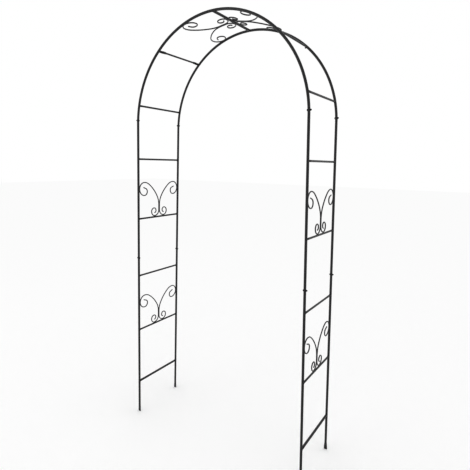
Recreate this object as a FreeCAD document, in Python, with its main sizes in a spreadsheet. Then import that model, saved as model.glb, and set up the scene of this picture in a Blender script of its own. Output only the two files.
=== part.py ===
"""Metal trellis arch: a free-standing garden arch of round steel tube.

Two tube hoops stand one behind the other and are tied by rungs into a ladder
on each side. Each hoop is built from plugged lengths of tube: a pinched ground
spike, a lower post, an upper post, a quarter hoop on each side and a short
stub at the crown. Pairs of bent-wire scrolls stand on the rungs.

Frame: +X across the walkway, +Y through the arch, +Z up, origin on the ground
midway between the four spike tips. All sizes are millimetres and degrees.
"""
import FreeCAD, Part
import math
import os
import Sketcher
from FreeCAD import Placement, Rotation, Vector

X_AXIS = Vector(1, 0, 0)
Y_AXIS = Vector(0, 1, 0)
Z_AXIS = Vector(0, 0, 1)
RIGHT_ANGLE = 90
HEXAGON_SIDES = 6

SIDES = {"left": -1, "right": 1}
ENDS = {"front": -1, "back": 1}

# --- driving dimensions ------------------------------------------------------

SIZES = [
    ("arch_radius", 538, "centreline radius of both hoops"),
    ("hoop_spacing", 356, "front hoop centreline to back hoop centreline"),
    ("leg_length", 1870, "spike tip to springing line, along the leg"),
    ("leg_splay", 1.5, "outward lean of each leg"),
    ("tube_diameter", 13, "posts, hoops, spikes, foot rungs and crown rung"),
    ("tube_wall", 1.2, "wall of that tube"),
    ("rung_diameter", 10, "ladder rungs"),
    ("rung_wall", 1, "wall of the ladder rungs"),
    ("wire_diameter", 6, "wire of the scrolls"),
    ("foot_rung_height", 219, "spike tip to foot rung, along the leg"),
    ("top_rung_drop", 203, "springing line down to the top rung of the leg"),
    ("rung_count", 4, "rungs of a leg above its foot rung, evenly spaced"),
    ("arc_rung_angle", 11, "springing line to the rung on the hoop"),
    ("crossbar_angle", 45.8, "springing line to the bolted crossbar"),
    ("cross_tube_cope", 2, "post axis to the blunted horns of a coped cross tube"),
    ("plug_length", 38, "swaged end that plugs into the next tube"),
    ("plug_clearance", 0.15, "radial play of a plugged end"),
    ("foot_seam_rise", 11, "foot rung axis to the seam above it"),
    ("mid_seam_rise", 96, "second rung axis to the seam above it"),
    ("bolt_rise", 20, "seam to the bolt above it"),
    ("crown_stub_length", 50, "plain length of the crown stub"),
    ("crimp_length", 45, "pinched length of a spike"),
    ("tip_width", 18.5, "pinched tip, across the leg"),
    ("tip_thickness", 3, "pinched tip, front to back"),
    ("tip_overrun", 1, "blade below the tip, trimmed off level with the ground"),
    ("bolt_diameter", 5, "all bolts"),
    ("bolt_hole_clearance", 0.5, "bolt hole over bolt diameter"),
    ("thread_clearance", 0.1, "nut bore over bolt diameter"),
    ("head_diameter", 10, "domed bolt head"),
    ("head_height", 3, "domed bolt head"),
    ("head_rounding", 2.1, "rounded rim of the domed head"),
    ("socket_width", 3, "hexagon socket in the head, across flats"),
    ("socket_depth", 1.6, "hexagon socket in the head"),
    ("nut_width", 8, "nut, across flats"),
    ("nut_height", 4, "nut"),
    ("thread_stand_out", 2.5, "bolt end past its nut"),
    ("seat_gap", 0.03, "flat seat of a head or nut off the bent tube under it"),
    ("crossbar_diameter", 9, "round bar of the bolted crossbar"),
    ("palm_width", 13, "flattened crossbar end and hoop lug"),
    ("palm_thickness", 2.5, "flattened crossbar end and hoop lug"),
    ("lug_hole_reach", 32, "hoop centreline to the lug's bolt hole"),
    ("palm_length", 18, "bolt hole to the round part of the crossbar"),
    ("palm_taper", 12, "taper from flattened end to round bar"),
    ("stem_length", 33, "straight stretch where two scrolls touch"),
    ("sweep_low_radius", 110, "scroll arc leaving the stem"),
    ("sweep_low_turn", 30, "scroll arc leaving the stem"),
    ("sweep_mid_turn", 25, "scroll arc that spans the bay"),
    ("sweep_top_radius", 70, "scroll arc over the shoulder"),
    ("hook_radius", 40, "big hook of the scroll"),
    ("hook_inner_radius", 24, "inner turn of the big hook"),
    ("hook_end_radius", 20, "last turn of the big hook"),
    ("hook_end_turn", 70, "last turn of the big hook"),
    ("hook_end_length", 20, "straight end of the big hook"),
    ("curl_radius", 36, "first quarter of the small curl"),
    ("curl_ratio", 0.78, "each later quarter of the curl over the one before"),
    ("curl_quarters", 5, "quarter turns in the small curl"),
]

doc = FreeCAD.newDocument("trellis_arch")
sheet = doc.addObject("Spreadsheet::Sheet", "sizes")
for row, (alias, value, note) in enumerate(SIZES, start=1):
    sheet.set(f"A{row}", note)
    sheet.set(f"B{row}", str(value))
    sheet.setAlias(f"B{row}", alias)
doc.recompute()


def size(alias):
    """One driving dimension, read back from the sheet."""
    return float(getattr(sheet, alias))


# Expressions over the sheet that more than one piece uses.
TUBE_RADIUS = "sizes.tube_diameter / 2"
BORE_RADIUS = "(sizes.tube_diameter / 2 - sizes.tube_wall)"
PLUG_RADIUS = f"({BORE_RADIUS} - sizes.plug_clearance)"
PLUG_BORE_RADIUS = f"({PLUG_RADIUS} - sizes.tube_wall)"
BOLT_HOLE_RADIUS = "(sizes.bolt_diameter + sizes.bolt_hole_clearance) / 2"
RUNG_PITCH = ("((sizes.leg_length - sizes.foot_rung_height - sizes.top_rung_drop)"
              " / sizes.rung_count)")
STUB_HALF_TURN = "(sizes.crown_stub_length / 2 / sizes.arch_radius * 180 / pi)"
PLUG_TURN = "(sizes.plug_length / sizes.arch_radius * 180 / pi)"

# Heights along a leg: zero at the springing line and negative below it.
ARCH_RADIUS = size("arch_radius")
HALF_SPACING = size("hoop_spacing") / 2
SPLAY = size("leg_splay")
TIP = -size("leg_length")
FOOT_RUNG = TIP + size("foot_rung_height")
FOOT_SEAM = FOOT_RUNG + size("foot_seam_rise")
TOP_RUNG = -size("top_rung_drop")
STRAIGHT_RUNGS = int(size("rung_count"))
SPACING_OF_RUNGS = (TOP_RUNG - FOOT_RUNG) / STRAIGHT_RUNGS
MID_SEAM = FOOT_RUNG + 2 * SPACING_OF_RUNGS + size("mid_seam_rise")
SCROLL_RUNGS = {"low": 1, "high": 3}

# The arch centre stands above the ground by the drop of a splayed leg.
CENTRE_HEIGHT = (size("leg_length") * math.cos(math.radians(SPLAY))
                 - ARCH_RADIUS * math.sin(math.radians(SPLAY)))


def arch_frame(side):
    """Frame at the arch centre; the left side is the right side turned half round."""
    return Placement(Vector(0, 0, CENTRE_HEIGHT), Rotation(Z_AXIS, 0 if side > 0 else 180))


def leg_frame(side):
    """Frame at the arch centre, leaned so that the leg's axis is parallel to its Z."""
    return arch_frame(side).multiply(Placement(Vector(), Rotation(Y_AXIS, -SPLAY)))


def hoop_y(side, end):
    """Local Y of a hoop in the frames above, for the front or the back hoop."""
    return side * end * HALF_SPACING


def polar(angle, y=0, radius=None):
    """Point on the hoop's centreline, by angle above the frame's X axis."""
    turn = math.radians(angle)
    radius = ARCH_RADIUS if radius is None else radius
    return Vector(radius * math.cos(turn), y, radius * math.sin(turn))


# --- building blocks ---------------------------------------------------------

def bind(obj, **expressions):
    """Ties an object's properties to expressions over the sheet."""
    for name, expression in expressions.items():
        obj.setExpression(name, expression)
    return obj


def cylinder(radius, height, base, direction=Z_AXIS):
    """Cylinder from base along direction."""
    obj = bind(doc.addObject("Part::Cylinder", "cylinder"), Radius=radius, Height=height)
    obj.Placement = Placement(base, Rotation(Z_AXIS, direction))
    return obj


def hoop_arc(minor, turn, y, start=0):
    """Round bar bent to the hoop's radius, from a start angle through a turn."""
    obj = bind(doc.addObject("Part::Torus", "hoop_arc"),
               Radius1="sizes.arch_radius", Radius2=minor, Angle3=turn)
    upright = Rotation(X_AXIS, RIGHT_ANGLE)
    obj.Placement = Placement(Vector(0, y, 0), upright.multiply(Rotation(Z_AXIS, start)))
    return obj


def box(length, width, height, place):
    """Box with sides along its own X, Y and Z from its corner."""
    obj = bind(doc.addObject("Part::Box", "box"), Length=length, Width=width, Height=height)
    obj.Placement = place
    return obj


def fuse(*solids):
    """One solid from several that overlap or touch."""
    if len(solids) == 1:
        return solids[0]
    obj = doc.addObject("Part::MultiFuse", "fuse")
    obj.Shapes = list(solids)
    obj.Refine = True
    return obj


def cut(base, tool):
    """Base with the tool taken away."""
    obj = doc.addObject("Part::Cut", "cut")
    obj.Base = base
    obj.Tool = tool
    return obj


nodes = []
ARC_TOOL_TURN = 10


def node(obj, label, place):
    """Names a finished sub-part and sets it in its place."""
    obj.Label = label
    obj.Placement = place
    nodes.append(obj)
    return obj


# --- spikes, posts and hoops ------------------------------------------------

def bolt_hole(y, angle):
    """Drill through both walls of a tube joint, along the hoop's radius."""
    start = polar(angle, y, ARCH_RADIUS - size("tube_diameter"))
    return cylinder(BOLT_HOLE_RADIUS, "2 * sizes.tube_diameter", start, polar(angle))


def straight_bolt_hole(y, height):
    """Drill through both walls of a joint on the straight leg."""
    start = Vector(ARCH_RADIUS - size("tube_diameter"), y, height)
    return cylinder(BOLT_HOLE_RADIUS, "2 * sizes.tube_diameter", start, X_AXIS)


def make_spike(label, side, end):
    """Ground spike: tube pinched to a blade below, swaged to a plug above."""
    y = hoop_y(side, end)
    crimp_top = TIP + size("crimp_length")
    barrel_height = "sizes.foot_rung_height + sizes.foot_seam_rise - sizes.crimp_length"
    barrel = cylinder(TUBE_RADIUS, barrel_height, Vector(ARCH_RADIUS, y, crimp_top))
    plug = cylinder(PLUG_RADIUS, f"{barrel_height} + sizes.plug_length",
                    Vector(ARCH_RADIUS, y, crimp_top))
    round_end = bind(doc.addObject("Part::Circle", "crimp_top"), Radius=TUBE_RADIUS)
    round_end.Placement.Base = Vector(ARCH_RADIUS, y, crimp_top)
    flat_end = bind(doc.addObject("Part::Ellipse", "crimp_tip"),
                    MajorRadius="sizes.tip_width / 2", MinorRadius="sizes.tip_thickness / 2")
    flat_end.Placement.Base = Vector(ARCH_RADIUS, y, TIP - size("tip_overrun"))
    blade = doc.addObject("Part::Loft", "blade")
    blade.Sections = [flat_end, round_end]
    blade.Solid = True
    bore = cylinder(BORE_RADIUS, f"{barrel_height} - sizes.tube_wall",
                    Vector(ARCH_RADIUS, y, crimp_top))
    plug_bore = cylinder(PLUG_BORE_RADIUS, f"{barrel_height} + sizes.plug_length",
                         Vector(ARCH_RADIUS, y, crimp_top))
    tip = Vector(ARCH_RADIUS, y, TIP)
    level = Rotation(Y_AXIS, SPLAY)
    corner = level.multVec(Vector(-1, -1, -1) * size("tip_width"))
    ground = box("2 * sizes.tip_width", "2 * sizes.tip_width", "sizes.tip_width",
                 Placement(tip + corner, level))
    solid = cut(fuse(blade, barrel, plug), fuse(bore, plug_bore, ground))
    node(solid, label, leg_frame(side))


def make_lower_post(label, side, end):
    """Lower post: open socket on the foot spike, bolted plug at its top."""
    y = hoop_y(side, end)
    base = Vector(ARCH_RADIUS, y, FOOT_SEAM)
    height = f"(2 * {RUNG_PITCH} + sizes.mid_seam_rise - sizes.foot_seam_rise)"
    outside = fuse(cylinder(TUBE_RADIUS, height, base),
                   cylinder(PLUG_RADIUS, f"{height} + sizes.plug_length", base))
    inside = fuse(cylinder(BORE_RADIUS, f"{height} - sizes.tube_wall", base),
                  cylinder(PLUG_BORE_RADIUS, f"{height} + sizes.plug_length", base),
                  straight_bolt_hole(y, MID_SEAM + size("bolt_rise")))
    node(cut(outside, inside), label, leg_frame(side))


def make_upper_post(label, side, end):
    """Upper post: socket on the lower post, its plug bent to follow the hoop."""
    y = hoop_y(side, end)
    base = Vector(ARCH_RADIUS, y, MID_SEAM)
    height = (f"(sizes.leg_length - sizes.foot_rung_height - 2 * {RUNG_PITCH}"
              " - sizes.mid_seam_rise)")
    bolt_angle = math.degrees(size("bolt_rise") / ARCH_RADIUS)
    outside = fuse(cylinder(TUBE_RADIUS, height, base),
                   hoop_arc(PLUG_RADIUS, PLUG_TURN, y))
    inside = fuse(cylinder(BORE_RADIUS, f"{height} - sizes.tube_wall", base),
                  cylinder(PLUG_BORE_RADIUS, height, base),
                  hoop_arc(PLUG_BORE_RADIUS, PLUG_TURN, y),
                  straight_bolt_hole(y, MID_SEAM + size("bolt_rise")),
                  bolt_hole(y, bolt_angle))
    node(cut(outside, inside), label, leg_frame(side))


def make_hoop_quarter(label, side, end):
    """Quarter hoop: open tube from the springing line to the crown stub."""
    y = hoop_y(side, end)
    turn = f"90 - sizes.leg_splay - {STUB_HALF_TURN}"
    bolt_angle = math.degrees(size("bolt_rise") / ARCH_RADIUS)
    inside = fuse(hoop_arc(BORE_RADIUS, turn, y), bolt_hole(y, bolt_angle))
    node(cut(hoop_arc(TUBE_RADIUS, turn, y), inside), label, leg_frame(side))


def make_crown_stub(label, end):
    """Crown stub: short curved tube with a plug at each end."""
    y = hoop_y(1, end)
    half_turn = math.degrees(size("crown_stub_length") / 2 / ARCH_RADIUS)
    plug_turn = half_turn + math.degrees(size("plug_length") / ARCH_RADIUS)
    outside = fuse(hoop_arc(TUBE_RADIUS, f"2 * {STUB_HALF_TURN}", y, RIGHT_ANGLE - half_turn),
                   hoop_arc(PLUG_RADIUS, f"2 * {STUB_HALF_TURN} + 2 * {PLUG_TURN}", y,
                            RIGHT_ANGLE - plug_turn))
    inside = hoop_arc(PLUG_BORE_RADIUS, f"2 * {STUB_HALF_TURN} + 2 * {PLUG_TURN}", y,
                      RIGHT_ANGLE - plug_turn)
    node(cut(outside, inside), label, arch_frame(1))


# --- rungs ------------------------------------------------------------------

def cross_tube(radius, bore_radius, centre, post_tools):
    """Tube between the two hoops, its ends coped round the posts it meets."""
    start = centre - Y_AXIS * (HALF_SPACING - size("cross_tube_cope"))
    length = "sizes.hoop_spacing - 2 * sizes.cross_tube_cope"
    outside = cylinder(radius, length, start, Y_AXIS)
    inside = cylinder(bore_radius, length, start, Y_AXIS)
    return cut(outside, fuse(inside, *post_tools))


def post_tools_at(height):
    """Stand-ins for the two posts of a leg around one height."""
    reach = 2 * size("tube_diameter")
    return [cylinder(TUBE_RADIUS, "4 * sizes.tube_diameter",
                     Vector(ARCH_RADIUS, end * HALF_SPACING, height - reach))
            for end in ENDS.values()]


def hoop_tool(angle, y):
    """Stand-in for a short stretch of hoop about one angle of the arch."""
    return hoop_arc(TUBE_RADIUS, str(ARC_TOOL_TURN), y, angle - ARC_TOOL_TURN / 2)


def hoop_tools_at(angle):
    """Stand-ins for the two hoops around one angle of the arch."""
    return [hoop_tool(angle, end * HALF_SPACING) for end in ENDS.values()]


def make_foot_rung(label, side):
    """Foot rung: full-size tube welded between the two spikes of a leg."""
    solid = cross_tube(TUBE_RADIUS, BORE_RADIUS, Vector(ARCH_RADIUS, 0, FOOT_RUNG),
                       post_tools_at(FOOT_RUNG))
    node(solid, label, leg_frame(side))


def make_crown_rung(label):
    """Crown rung: full-size tube welded between the two crown stubs."""
    solid = cross_tube(TUBE_RADIUS, BORE_RADIUS, polar(RIGHT_ANGLE),
                       hoop_tools_at(RIGHT_ANGLE))
    node(solid, label, arch_frame(1))


def make_rung(label, side, number):
    """Ladder rung on the straight leg, or the last one just above the springing."""
    if number <= STRAIGHT_RUNGS:
        height = FOOT_RUNG + number * SPACING_OF_RUNGS
        centre = Vector(ARCH_RADIUS, 0, height)
        tools = post_tools_at(height)
    else:
        centre = polar(size("arc_rung_angle"))
        tools = hoop_tools_at(size("arc_rung_angle"))
    solid = cross_tube("sizes.rung_diameter / 2", "(sizes.rung_diameter / 2 - sizes.rung_wall)",
                       centre, tools)
    node(solid, label, leg_frame(side))


# --- bolted crossbar --------------------------------------------------------

def crossbar_frame():
    """Frame on the arch surface at the crossbar: Z outward, Y along the bar."""
    angle = size("crossbar_angle")
    return Placement(polar(angle), Rotation(Y_AXIS, RIGHT_ANGLE - angle))


def lug_hole_y(end):
    """Place of a lug's bolt hole along the crossbar."""
    return end * (HALF_SPACING - size("lug_hole_reach"))


def in_crossbar(obj):
    """Moves a helper solid from the crossbar's own frame to the leg's."""
    obj.Placement = crossbar_frame().multiply(obj.Placement)
    return obj


def lug_bolt_hole(end):
    """Bolt hole through a lug and the crossbar palm on it."""
    base = Vector(0, lug_hole_y(end), -2 * size("palm_thickness"))
    return in_crossbar(cylinder(BOLT_HOLE_RADIUS, "4 * sizes.palm_thickness", base))


def make_lug(label, side, end):
    """Lug: flat plate welded to the inner side of the hoop, drilled for the crossbar."""
    local = side * end
    hole_y = lug_hole_y(local)
    low_y = min(hole_y, local * HALF_SPACING)
    thickness = size("palm_thickness")
    base = Vector(-size("palm_width") / 2, low_y, -thickness)
    plate = in_crossbar(box("sizes.palm_width", "sizes.lug_hole_reach", "sizes.palm_thickness",
                            Placement(base, Rotation())))
    nose = in_crossbar(cylinder("sizes.palm_width / 2", "sizes.palm_thickness",
                                Vector(0, hole_y, -thickness)))
    hoop = hoop_tool(size("crossbar_angle"), local * HALF_SPACING)
    solid = cut(fuse(plate, nose), fuse(hoop, lug_bolt_hole(local)))
    node(solid, label, leg_frame(side))


def make_crossbar(label, side):
    """Bolted crossbar: round bar hammered flat at both ends and drilled."""
    lift = size("palm_thickness") / 2
    taper = size("palm_taper")
    solids = []
    holes = []
    round_start = HALF_SPACING - size("lug_hole_reach") - size("palm_length") - taper
    solids.append(in_crossbar(cylinder(
        "sizes.crossbar_diameter / 2",
        "sizes.hoop_spacing - 2 * (sizes.lug_hole_reach + sizes.palm_length + sizes.palm_taper)",
        Vector(0, -round_start, lift), Y_AXIS)))
    for end in ENDS.values():
        hole_y = lug_hole_y(end)
        flat_end_y = hole_y - end * size("palm_length")
        base = Vector(-size("palm_width") / 2, min(hole_y, flat_end_y), 0)
        solids.append(in_crossbar(box("sizes.palm_width", "sizes.palm_length",
                                      "sizes.palm_thickness", Placement(base, Rotation()))))
        solids.append(in_crossbar(cylinder("sizes.palm_width / 2", "sizes.palm_thickness",
                                           Vector(0, hole_y, 0))))
        across = Rotation(X_AXIS, RIGHT_ANGLE)
        flat = bind(doc.addObject("Part::Ellipse", "taper_flat"),
                    MajorRadius="sizes.palm_width / 2", MinorRadius="sizes.palm_thickness / 2")
        flat.Placement = Placement(Vector(0, flat_end_y, lift), across)
        full = bind(doc.addObject("Part::Circle", "taper_round"),
                    Radius="sizes.crossbar_diameter / 2")
        full.Placement = Placement(Vector(0, flat_end_y - end * taper, lift), across)
        loft = doc.addObject("Part::Loft", "taper")
        loft.Sections = [in_crossbar(flat), in_crossbar(full)]
        loft.Solid = True
        solids.append(loft)
        holes.append(lug_bolt_hole(end))
    node(cut(fuse(*solids), fuse(*holes)), label, leg_frame(side))


# --- scrolls ----------------------------------------------------------------

class WirePath:
    """Chain of tangent arcs and straights in a plane, walked from a start and heading."""

    def __init__(self, point, heading):
        self.point = point
        self.heading = math.radians(heading)
        self.edges = []

    def direction(self, heading=None):
        """Unit vector of a heading, in the plane of the scroll (X across, Z up)."""
        heading = self.heading if heading is None else heading
        return Vector(math.cos(heading), 0, math.sin(heading))

    def straight(self, length):
        """Straight run along the present heading."""
        target = self.point + self.direction() * length
        self.edges.append(Part.makeLine(self.point, target))
        self.point = target

    def turn(self, radius, degrees):
        """Arc that turns by degrees, positive to the left."""
        sweep = math.radians(degrees)
        side = math.copysign(RIGHT_ANGLE, degrees)
        centre = self.point + self.direction(self.heading + math.radians(side)) * radius
        spoke = self.point - centre
        about_y = Vector(0, -1, 0)
        middle = centre + Rotation(about_y, degrees / 2).multVec(spoke)
        target = centre + Rotation(about_y, degrees).multVec(spoke)
        self.edges.append(Part.Arc(self.point, middle, target).toShape())
        self.point = target
        self.heading += sweep


def scroll_shape():
    """One scroll in its own plane: X from the post's axis, Z from the rung's surface.

    The stem touches its twin on the bay's middle line. Below it the wire curls
    outward and rests on the rung; above, it sweeps out to the post and hooks in.
    """
    wire_radius = size("wire_diameter") / 2
    stem_x = HALF_SPACING - wire_radius
    stem_low = Vector(stem_x, 0, wire_radius + size("curl_radius"))

    curl = WirePath(stem_low, -RIGHT_ANGLE)
    radius = size("curl_radius")
    for _ in range(int(size("curl_quarters"))):
        curl.turn(radius, -RIGHT_ANGLE)
        radius *= size("curl_ratio")

    low_turn = math.radians(size("sweep_low_turn"))
    mid_turn = math.radians(size("sweep_low_turn") + size("sweep_mid_turn"))
    hook_x = size("tube_diameter") / 2 + wire_radius + size("hook_radius")
    span = (stem_x - hook_x - size("sweep_low_radius") * (1 - math.cos(low_turn))
            - size("sweep_top_radius") * math.cos(mid_turn))
    mid_radius = span / (math.cos(low_turn) - math.cos(mid_turn))

    sweep = WirePath(stem_low, RIGHT_ANGLE)
    sweep.straight(size("stem_length"))
    sweep.turn(size("sweep_low_radius"), size("sweep_low_turn"))
    sweep.turn(mid_radius, size("sweep_mid_turn"))
    sweep.turn(size("sweep_top_radius"),
               RIGHT_ANGLE - size("sweep_low_turn") - size("sweep_mid_turn"))
    sweep.turn(size("hook_radius"), RIGHT_ANGLE)
    touch_height = sweep.point.z
    sweep.turn(size("hook_radius"), RIGHT_ANGLE)
    sweep.turn(size("hook_inner_radius"), RIGHT_ANGLE)
    sweep.turn(size("hook_end_radius"), size("hook_end_turn"))
    sweep.straight(size("hook_end_length"))

    section = Part.Face(Part.Wire(Part.makeCircle(wire_radius, curl.point, curl.direction())))
    path = Part.Wire(Part.__sortEdges__(curl.edges + sweep.edges))
    return path.makePipe(section), touch_height


SCROLL, SCROLL_TOUCH = scroll_shape()


def stand_scroll(label, side, end, plane, frame):
    """Sets one scroll against the front or back hoop in the plane of its bay."""
    obj = doc.addObject("Part::Feature", "scroll")
    obj.Shape = SCROLL
    local = side * end
    across = Rotation(Z_AXIS, RIGHT_ANGLE if local < 0 else -RIGHT_ANGLE)
    place = plane.multiply(Placement(Vector(0, local * HALF_SPACING, 0), across))
    node(obj, label, frame.multiply(place))


def make_leg_scroll(label, side, end, rung):
    """Scroll that stands on a ladder rung."""
    height = FOOT_RUNG + rung * SPACING_OF_RUNGS + size("rung_diameter") / 2
    plane = Placement(Vector(ARCH_RADIUS, 0, height), Rotation())
    stand_scroll(label, side, end, plane, leg_frame(side))


def make_crown_scroll(label, side, end):
    """Scroll that lies from the crown rung down the arch, on the chord to its touch point."""
    stand_off = size("tube_diameter") / 2
    chord = math.degrees(math.asin((SCROLL_TOUCH + stand_off) / (2 * ARCH_RADIUS)))
    lean = Rotation(Y_AXIS, RIGHT_ANGLE + chord)
    base = polar(RIGHT_ANGLE) + lean.multVec(Z_AXIS * stand_off)
    stand_scroll(label, side, end, Placement(base, lean), arch_frame(side))


# --- fasteners --------------------------------------------------------------

def origin_plane(body, role):
    """One of a body's own origin planes."""
    return next(plane for plane in body.Origin.OriginFeatures if plane.Role == role)


def sketch_on(body, support, name):
    """Empty sketch of a body on one of its planes."""
    sketch = body.newObject("Sketcher::SketchObject", name)
    sketch.AttachmentSupport = (support, "")
    sketch.MapMode = "FlatFace"
    return sketch


def circle_sketch(body, name, radius):
    """Circle about the body's axis, its radius tied to the sheet."""
    sketch = sketch_on(body, origin_plane(body, "XY_Plane"), name)
    sketch.addGeometry(Part.Circle(Vector(), Z_AXIS, size("bolt_diameter")), False)
    sketch.addConstraint(Sketcher.Constraint("Coincident", 0, 3, -1, 1))
    sketch.addConstraint(Sketcher.Constraint("Radius", 0, size("bolt_diameter")))
    sketch.setExpression("Constraints[1]", radius)
    return sketch


def hexagon_sketch(body, name, width):
    """Regular hexagon about the body's axis, its width across flats tied to the sheet."""
    sketch = sketch_on(body, origin_plane(body, "XY_Plane"), name)
    first_radius = size("bolt_diameter")
    turn = math.radians(360 / HEXAGON_SIDES)
    corners = [Vector(math.cos(turn * i), math.sin(turn * i), 0) * first_radius
               for i in range(HEXAGON_SIDES)]
    for i, corner in enumerate(corners):
        following = corners[(i + 1) % HEXAGON_SIDES]
        sketch.addGeometry(Part.LineSegment(corner, following), False)
    circle = sketch.addGeometry(Part.Circle(Vector(), Z_AXIS, first_radius), True)
    for i in range(HEXAGON_SIDES):
        following = (i + 1) % HEXAGON_SIDES
        sketch.addConstraint(Sketcher.Constraint("Coincident", i, 2, following, 1))
        sketch.addConstraint(Sketcher.Constraint("PointOnObject", i, 1, circle))
    for i in range(1, HEXAGON_SIDES):
        sketch.addConstraint(Sketcher.Constraint("Equal", 0, i))
    sketch.addConstraint(Sketcher.Constraint("Coincident", circle, 3, -1, 1))
    sketch.addConstraint(Sketcher.Constraint("PointOnObject", 0, 1, -1))
    radius = sketch.addConstraint(Sketcher.Constraint("Radius", circle, first_radius))
    sketch.setExpression(f"Constraints[{radius}]", f"{width} / sqrt(3)")
    return sketch


def pad(body, profile, name, length, reverse=False):
    """Pad of a sketch by a length from the sheet."""
    feature = body.newObject("PartDesign::Pad", name)
    feature.Profile = profile
    feature.Reversed = reverse
    feature.setExpression("Length", length)
    return feature


def pocket(body, profile, name, length, reverse=False):
    """Pocket of a sketch by a length from the sheet."""
    feature = body.newObject("PartDesign::Pocket", name)
    feature.Profile = profile
    feature.Reversed = reverse
    feature.setExpression("Length", length)
    return feature


def bolt_piece(name, shank):
    """Domed socket bolt: the head sits below its own origin, the shank runs up Z.

    The rim that gets rounded is the head's widest edge, and the furthest one down.
    """
    body = doc.addObject("PartDesign::Body", name)
    pad(body, circle_sketch(body, "shank_circle", "sizes.bolt_diameter / 2"), "shank", shank)
    head = pad(body, circle_sketch(body, "head_circle", "sizes.head_diameter / 2"), "head",
               "sizes.head_height", reverse=True)
    doc.recompute()
    dome = body.newObject("PartDesign::Fillet", "dome")
    frames = [edge.BoundBox for edge in head.Shape.Edges]
    rim = min(range(len(frames)), key=lambda i: frames[i].ZMax - frames[i].XLength)
    dome.Base = (head, [f"Edge{rim + 1}"])
    dome.setExpression("Radius", "sizes.head_rounding")
    doc.recompute()
    socket = hexagon_sketch(body, "socket_hexagon", "sizes.socket_width")
    socket.setExpression("AttachmentOffset.Base.z", "-sizes.head_height")
    before = dome.Shape.Volume
    pocket(body, socket, "socket", "sizes.socket_depth", reverse=True)
    doc.recompute()
    if body.Shape.Volume >= before:
        raise RuntimeError(f"{name}: the socket cuts nothing")
    return body


def nut_piece(name):
    """Hexagon nut that stands on its own origin along Z."""
    body = doc.addObject("PartDesign::Body", name)
    pad(body, hexagon_sketch(body, "nut_hexagon", "sizes.nut_width"), "nut", "sizes.nut_height")
    doc.recompute()
    before = body.Shape.Volume
    bore = circle_sketch(body, "thread_circle", "(sizes.bolt_diameter + sizes.thread_clearance) / 2")
    pocket(body, bore, "thread", "sizes.nut_height", reverse=True)
    doc.recompute()
    if body.Shape.Volume >= before:
        raise RuntimeError(f"{name}: the thread cuts nothing")
    return body


def group(label, piece, places):
    """One node that holds a copy of a fastener at each place."""
    obj = doc.addObject("Part::Feature", "fasteners")
    copies = [piece.Shape.transformed(place.toMatrix(), True) for place in places]
    obj.Shape = Part.makeCompound(copies)
    node(obj, label, Placement())


def outward_at(frame, point, direction):
    """Placement whose origin is a point and whose Z runs along a direction of a frame."""
    return frame.multiply(Placement(point, Rotation(Z_AXIS, direction)))


def make_post_fasteners():
    """Bolts through the two plugged joints of every post, nuts on the outside."""
    radius = size("tube_diameter") / 2 + size("seat_gap")
    rise_angle = math.degrees(size("bolt_rise") / ARCH_RADIUS)
    bolt = bolt_piece("post_bolt",
                              "sizes.tube_diameter + sizes.nut_height + sizes.thread_stand_out")
    nut = nut_piece("post_nut")
    heads = []
    nuts = []
    for side in SIDES.values():
        for end in ENDS.values():
            y = hoop_y(side, end)
            height = MID_SEAM + size("bolt_rise")
            axes = [(Vector(ARCH_RADIUS, y, height), X_AXIS),
                    (polar(rise_angle, y), polar(rise_angle, 0, 1))]
            for centre, direction in axes:
                heads.append(outward_at(leg_frame(side), centre - direction * radius, direction))
                nuts.append(outward_at(leg_frame(side), centre + direction * radius, direction))
    group("post_joint_bolts", bolt, heads)
    group("post_joint_nuts", nut, nuts)


def make_crossbar_fasteners():
    """Bolts through the crossbar palms and hoop lugs, nuts on the inside."""
    thickness = size("palm_thickness") + size("seat_gap")
    bolt = bolt_piece("crossbar_bolt", "2 * sizes.palm_thickness + sizes.nut_height"
                              " + sizes.thread_stand_out")
    nut = nut_piece("crossbar_nut")
    heads = []
    nuts = []
    for side in SIDES.values():
        frame = leg_frame(side).multiply(crossbar_frame())
        for end in ENDS.values():
            hole_y = lug_hole_y(end)
            heads.append(outward_at(frame, Vector(0, hole_y, thickness), -Z_AXIS))
            nuts.append(outward_at(frame, Vector(0, hole_y, -thickness), -Z_AXIS))
    group("crossbar_bolts", bolt, heads)
    group("crossbar_nuts", nut, nuts)


# --- assembly ---------------------------------------------------------------

for side_name, side_sign in SIDES.items():
    make_foot_rung(f"foot_rung_{side_name}", side_sign)
    for rung_number in range(1, STRAIGHT_RUNGS + 2):
        make_rung(f"rung_{rung_number}_{side_name}", side_sign, rung_number)
    make_crossbar(f"crossbar_{side_name}", side_sign)
    for end_name, end_sign in ENDS.items():
        where = f"{side_name}_{end_name}"
        make_spike(f"spike_{where}", side_sign, end_sign)
        make_lower_post(f"lower_post_{where}", side_sign, end_sign)
        make_upper_post(f"upper_post_{where}", side_sign, end_sign)
        make_hoop_quarter(f"hoop_quarter_{where}", side_sign, end_sign)
        make_lug(f"crossbar_lug_{where}", side_sign, end_sign)
        for level, rung_index in SCROLL_RUNGS.items():
            make_leg_scroll(f"scroll_{level}_{where}", side_sign, end_sign, rung_index)
        make_crown_scroll(f"scroll_crown_{where}", side_sign, end_sign)
make_crown_rung("crown_rung")
for end_name, end_sign in ENDS.items():
    make_crown_stub(f"crown_stub_{end_name}", end_sign)
make_post_fasteners()
make_crossbar_fasteners()

doc.recompute()
for obj in doc.Objects:
    if "Invalid" in obj.State or "Error" in obj.State:
        raise RuntimeError(f"{obj.Label} failed to rebuild: {obj.State}")
for obj in nodes:
    if obj.Shape.isNull() or not obj.Shape.isValid() or not obj.Shape.Solids:
        raise RuntimeError(f"{obj.Label} has no valid solid")

os.makedirs("parts", exist_ok=True)
for obj in nodes:
    obj.Shape.exportStep(f"parts/{obj.Label}.step")
    print(f"{obj.Label}: {len(obj.Shape.Solids)} solid(s), {obj.Shape.Volume:.0f} mm3")
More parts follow.
